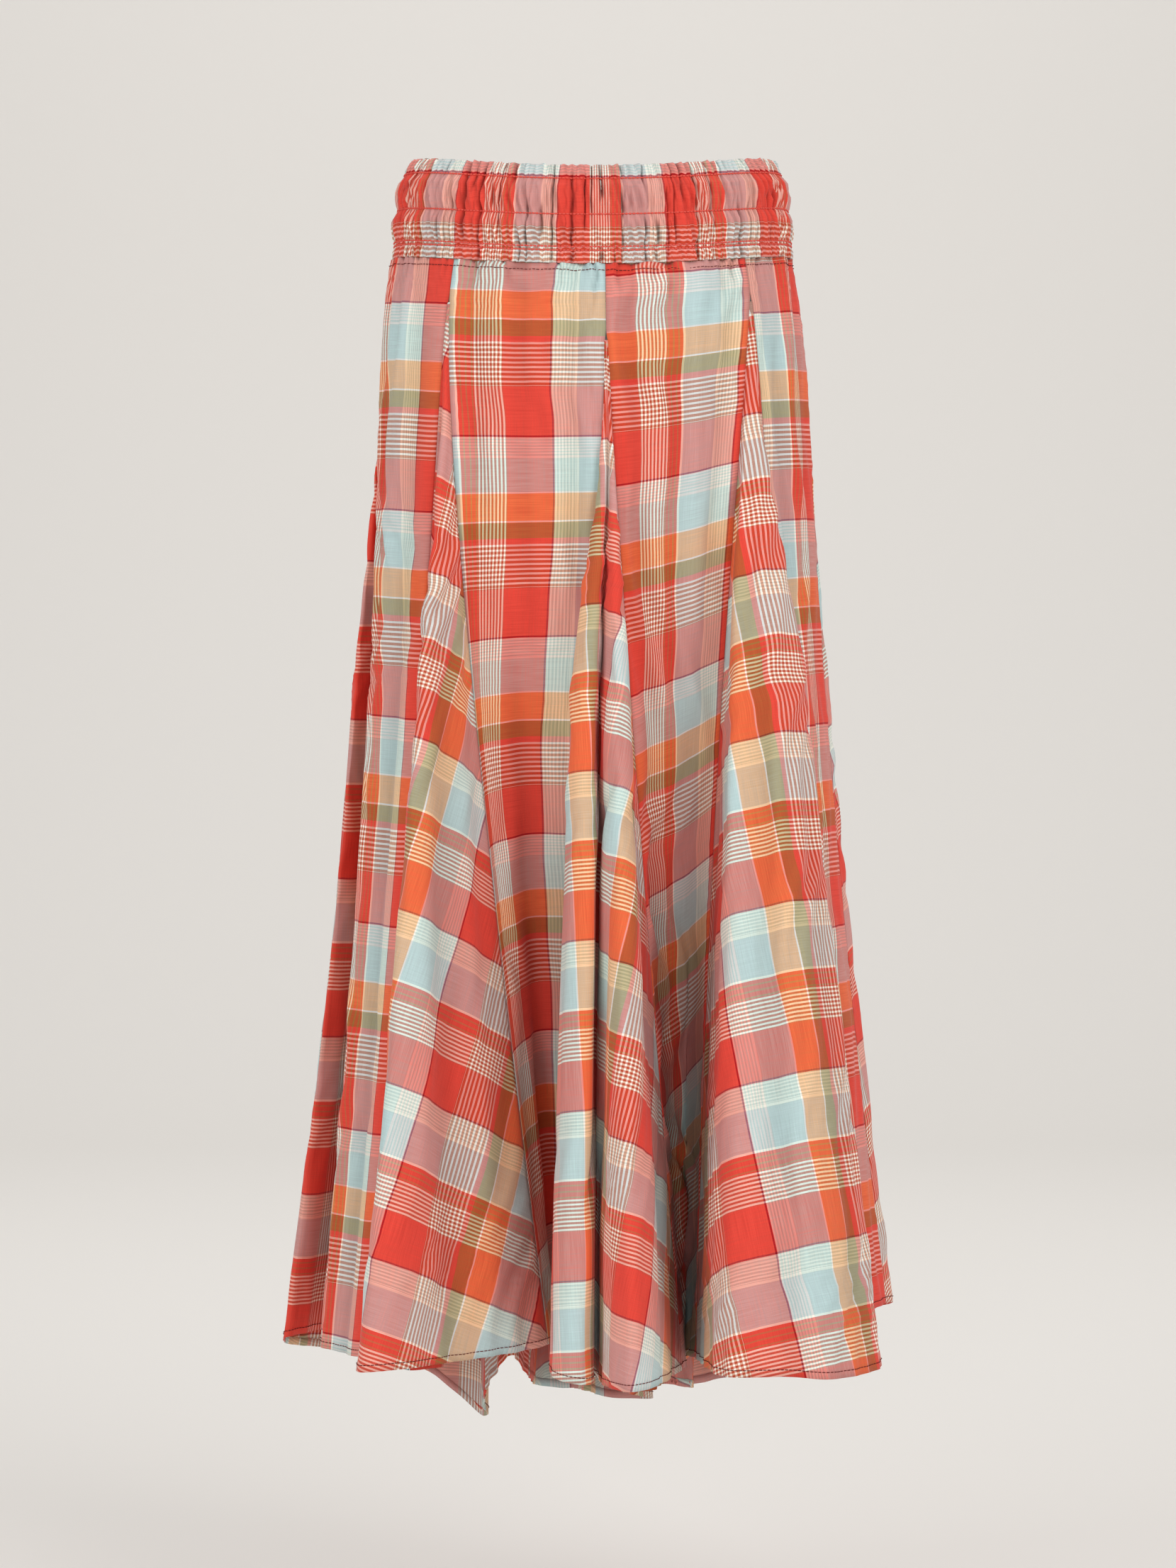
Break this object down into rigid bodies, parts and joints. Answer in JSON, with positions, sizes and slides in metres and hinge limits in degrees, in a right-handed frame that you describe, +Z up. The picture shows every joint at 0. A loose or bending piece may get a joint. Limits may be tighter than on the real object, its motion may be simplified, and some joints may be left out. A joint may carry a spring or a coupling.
{
  "type": "midi skirt",
  "caption": "Flared midi skirt in checked cotton, with a gathered elastic waistband and godets, filled out as when worn.",
  "frame": {"origin": "middle of the waistband on its centre line, where the wearer's waist holds the skirt", "axes": "+Z up, -Y the front of the skirt, +X to the right as the front is seen"},
  "size_m": [0.4424, 0.3951, 0.911],
  "materials": {
    "panel_cloth": "plain woven checked cotton, matt",
    "godet_cloth": "plain woven checked cotton cut across the grain, matt",
    "waistband_cloth": "plain woven checked cotton, gathered, matt",
    "sewing_thread": "matt sewing thread"
  },
  "bodies": {
    "root": {"waistband_front": "waistband_cloth", "waistband_back": "waistband_cloth", "panel_front_left": "panel_cloth", "panel_front_right": "panel_cloth", "panel_side_left": "panel_cloth", "panel_side_right": "panel_cloth", "panel_back_left": "panel_cloth", "panel_back_right": "panel_cloth", "panel_back_side_left": "panel_cloth", "panel_back_side_right": "panel_cloth", "godet_front_left": "godet_cloth", "godet_front_centre": "godet_cloth", "godet_front_right": "godet_cloth", "godet_side_left": "godet_cloth", "godet_side_right": "godet_cloth", "godet_back_left": "godet_cloth", "godet_back_centre": "godet_cloth", "godet_back_right": "godet_cloth"}
  },
  "joints": []
}
